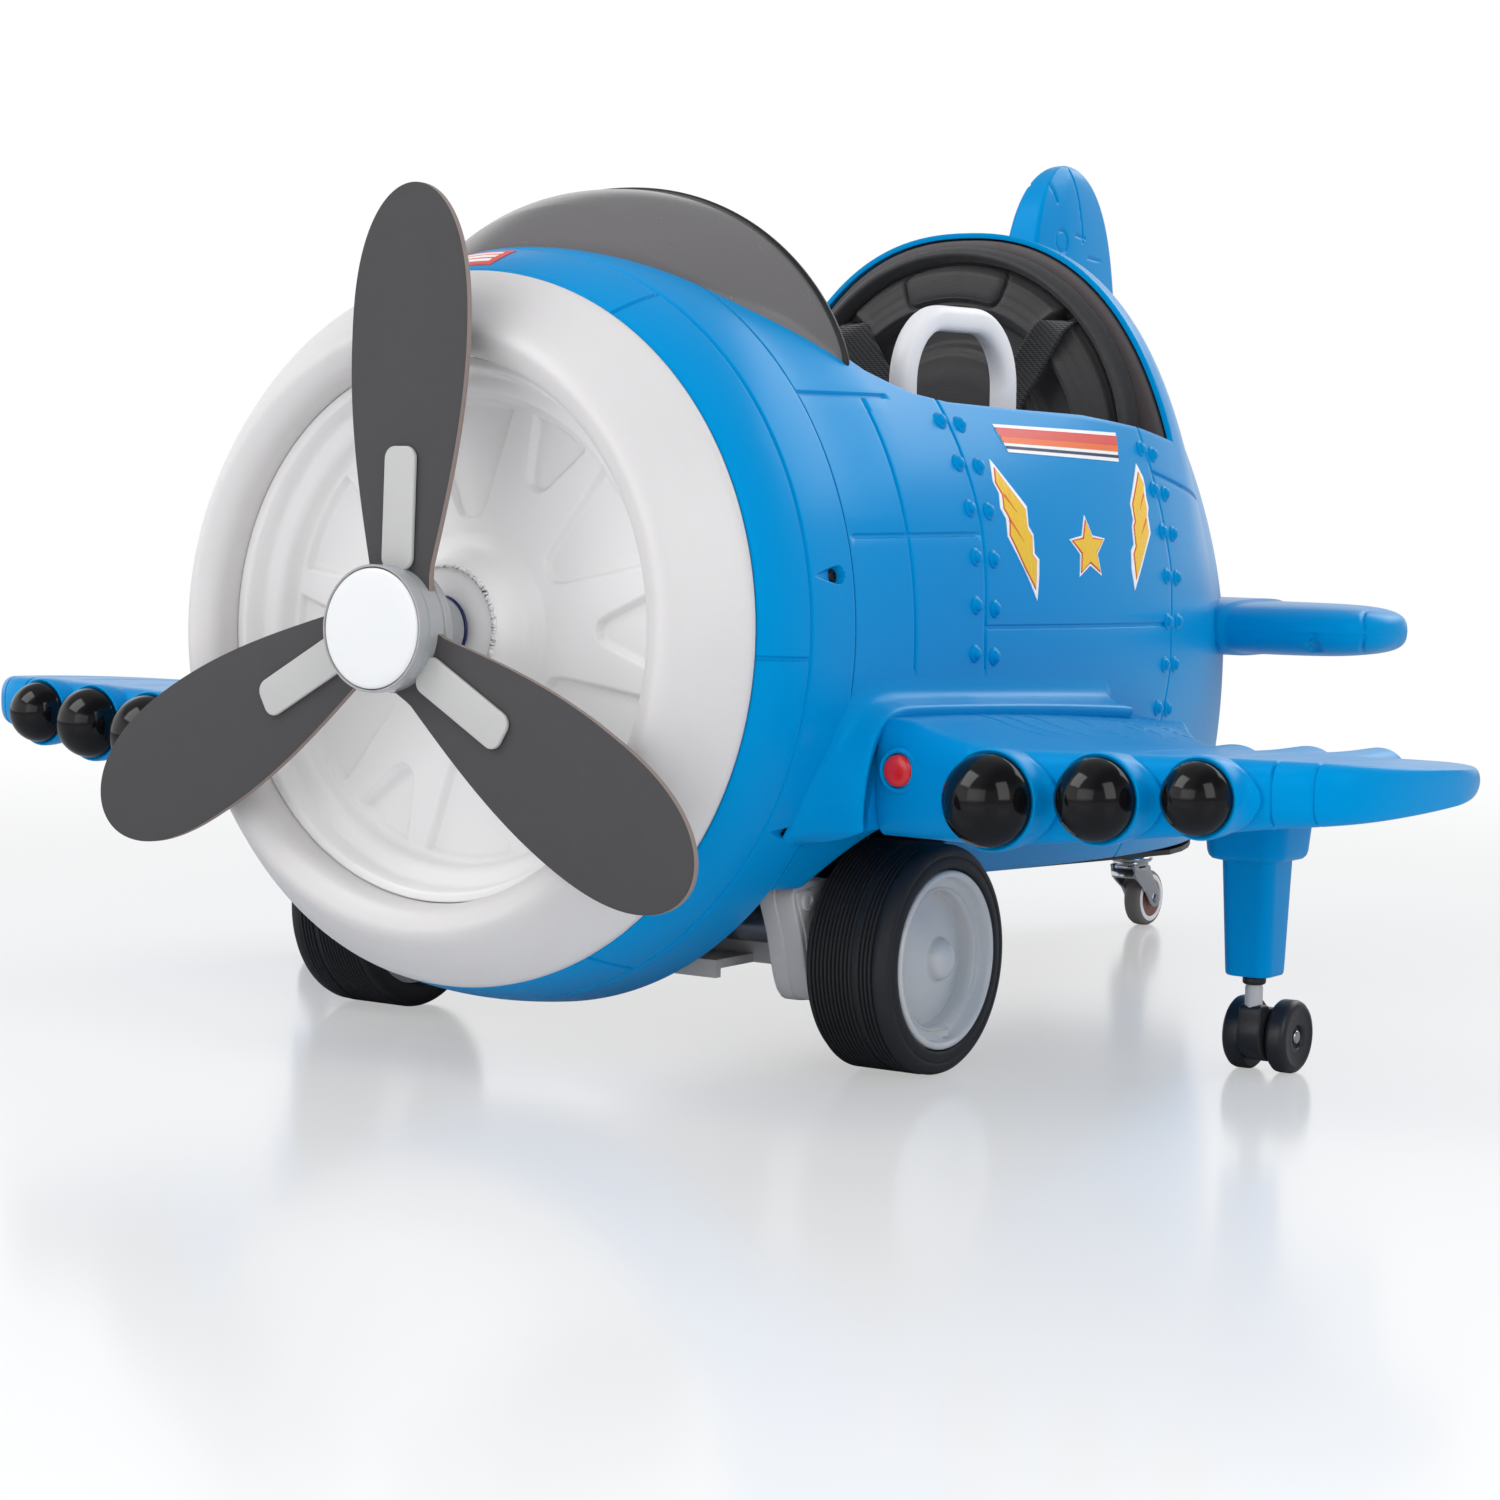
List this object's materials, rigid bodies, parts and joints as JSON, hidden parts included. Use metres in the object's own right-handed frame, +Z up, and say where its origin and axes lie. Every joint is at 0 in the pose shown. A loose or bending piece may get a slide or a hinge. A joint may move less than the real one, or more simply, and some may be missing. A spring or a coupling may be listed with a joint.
{
  "type": "ride-on toy airplane",
  "caption": "Electric ride-on toy airplane with a turning propeller, driven wheels, plug-in wings on swivel casters, lever handles and a padded seat.",
  "frame": {"origin": "on the floor, under the middle of the object's bounding box", "axes": "+Z up, the nose points along -Y, +X is the rider's left"},
  "size_m": [1.1828, 1.0617, 0.6477],
  "materials": {
    "blue_shell": "glossy blue moulded plastic",
    "white_nose": "satin white moulded plastic",
    "smoke": "smoky grey translucent plastic",
    "black_plastic": "matt black plastic",
    "black_gloss": "glossy black plastic",
    "blade_foam": "dark grey foam sheet",
    "grey_plastic": "light grey moulded plastic",
    "clear_hub": "translucent grey plastic",
    "tyre_rubber": "black ribbed tyre",
    "caster_tread": "brown-grey caster tread",
    "pad": "black moulded pad with leather grain",
    "webbing": "black belt webbing",
    "steel_part": "plain steel",
    "chrome_part": "chrome-plated steel",
    "red_plastic": "red push button",
    "yellow_plastic": "yellow push button"
  },
  "bodies": {
    "airframe": {"fuselage_shell": "blue_shell", "cowl_ring": "blue_shell", "nose_ring": "white_nose", "nose_dish": "white_nose", "propeller_motor": "steel_part", "windscreen": "smoke", "windscreen_rim": "black_plastic", "cockpit_tub": "black_plastic", "seat_cushion": "pad", "seat_back": "black_plastic", "seat_bead": "pad", "backrest_pad": "pad", "headrest_pad": "pad", "belt_webbing": "webbing", "belt_buckle": "black_gloss", "dash_panel": "black_plastic", "battery": "black_plastic", "control_box": "black_plastic", "charge_socket": "black_gloss", "chassis_plate": "black_plastic", "axle_beam": "grey_plastic", "gearbox_left": "grey_plastic", "gearbox_right": "grey_plastic", "drive_motors": "steel_part", "drive_axle": "steel_part", "body_screws": "black_gloss", "fin": "blue_shell", "tailplane_left": "blue_shell", "tailplane_right": "blue_shell", "wing_socket_left": "blue_shell", "wing_socket_right": "blue_shell", "tail_mount": "blue_shell"},
    "propeller": {"propeller_hub": "clear_hub", "hub_cap": "white_nose", "propeller_shaft": "steel_part", "propeller_blades": "blade_foam", "blade_clips": "grey_plastic"},
    "drive_wheel_left": {"tyre_left": "tyre_rubber", "wheel_disc_left": "clear_hub"},
    "drive_wheel_right": {"tyre_right": "tyre_rubber", "wheel_disc_right": "clear_hub"},
    "wing_left": {"wing_left": "blue_shell", "engine_domes_left": "black_gloss", "leg_left": "blue_shell"},
    "wing_right": {"wing_right": "blue_shell", "engine_domes_right": "black_gloss", "leg_right": "blue_shell"},
    "release_left": {"release_button_left": "red_plastic"},
    "release_right": {"release_button_right": "red_plastic"},
    "caster_left": {"caster_body_left": "grey_plastic"},
    "caster_right": {"caster_body_right": "grey_plastic"},
    "caster_wheels_left": {"caster_wheels_left": "black_plastic"},
    "caster_wheels_right": {"caster_wheels_right": "black_plastic"},
    "tail_caster": {"tail_fork": "chrome_part"},
    "tail_caster_wheel": {"tail_wheel": "caster_tread"},
    "lever_left": {"lever_left": "grey_plastic"},
    "lever_right": {"lever_right": "grey_plastic"},
    "power_switch": {"power_switch": "black_gloss"},
    "horn_button": {"horn_button": "red_plastic"},
    "music_button": {"music_button": "yellow_plastic"}
  },
  "joints": [
    {"name": "propeller_spin", "type": "hinge", "parent": "airframe", "child": "propeller", "pos_m": [0, -0.44025, 0.2895], "axis": [0, 0.9991, -0.0419], "continuous": true},
    {"name": "drive_wheel_left_spin", "type": "hinge", "parent": "airframe", "child": "drive_wheel_left", "pos_m": [0.224, -0.24825, 0.0765], "axis": [1, 0, 0], "continuous": true},
    {"name": "wing_left_pull", "type": "slide", "parent": "airframe", "child": "wing_left", "axis": [1, 0, 0], "range_m": [0, 0.06]},
    {"name": "release_left_press", "type": "slide", "parent": "wing_left", "child": "release_left", "axis": [0, 1, 0], "range_m": [0, 0.003], "stiffness_N_per_m": 800},
    {"name": "caster_left_swivel", "type": "hinge", "parent": "wing_left", "child": "caster_left", "pos_m": [0.413, -0.11525, 0.06], "axis": [0, 0, 1], "continuous": true},
    {"name": "caster_wheels_left_spin", "type": "hinge", "parent": "caster_left", "child": "caster_wheels_left", "pos_m": [0.413, -0.09325, 0.0245], "axis": [1, 0, 0], "continuous": true},
    {"name": "lever_left_tilt", "type": "hinge", "parent": "airframe", "child": "lever_left", "pos_m": [0.15, -0.08625, 0.33], "axis": [1, 0, 0], "range_deg": [-14, 14], "stiffness_Nm_per_rad": 1.5},
    {"name": "drive_wheel_right_spin", "type": "hinge", "parent": "airframe", "child": "drive_wheel_right", "pos_m": [-0.224, -0.24825, 0.0765], "axis": [1, 0, 0], "continuous": true},
    {"name": "wing_right_pull", "type": "slide", "parent": "airframe", "child": "wing_right", "axis": [-1, 0, 0], "range_m": [0, 0.06]},
    {"name": "release_right_press", "type": "slide", "parent": "wing_right", "child": "release_right", "axis": [0, 1, 0], "range_m": [0, 0.003], "stiffness_N_per_m": 800},
    {"name": "caster_right_swivel", "type": "hinge", "parent": "wing_right", "child": "caster_right", "pos_m": [-0.413, -0.11525, 0.06], "axis": [0, 0, 1], "continuous": true},
    {"name": "caster_wheels_right_spin", "type": "hinge", "parent": "caster_right", "child": "caster_wheels_right", "pos_m": [-0.413, -0.09325, 0.0245], "axis": [1, 0, 0], "continuous": true},
    {"name": "lever_right_tilt", "type": "hinge", "parent": "airframe", "child": "lever_right", "pos_m": [-0.15, -0.08625, 0.33], "axis": [1, 0, 0], "range_deg": [-14, 14], "stiffness_Nm_per_rad": 1.5},
    {"name": "tail_caster_swivel", "type": "hinge", "parent": "airframe", "child": "tail_caster", "pos_m": [0, 0.48075, 0.06], "axis": [0, 0, 1], "continuous": true},
    {"name": "tail_caster_wheel_spin", "type": "hinge", "parent": "tail_caster", "child": "tail_caster_wheel", "pos_m": [0, 0.50575, 0.0245], "axis": [1, 0, 0], "continuous": true},
    {"name": "power_switch_rock", "type": "hinge", "parent": "airframe", "child": "power_switch", "pos_m": [-0.07, -0.21225, 0.39], "axis": [1, 0, 0], "range_deg": [-8, 8]},
    {"name": "horn_press", "type": "slide", "parent": "airframe", "child": "horn_button", "axis": [0, -1, 0], "range_m": [0, 0.003], "stiffness_N_per_m": 500},
    {"name": "music_press", "type": "slide", "parent": "airframe", "child": "music_button", "axis": [0, -1, 0], "range_m": [0, 0.003], "stiffness_N_per_m": 500}
  ]
}
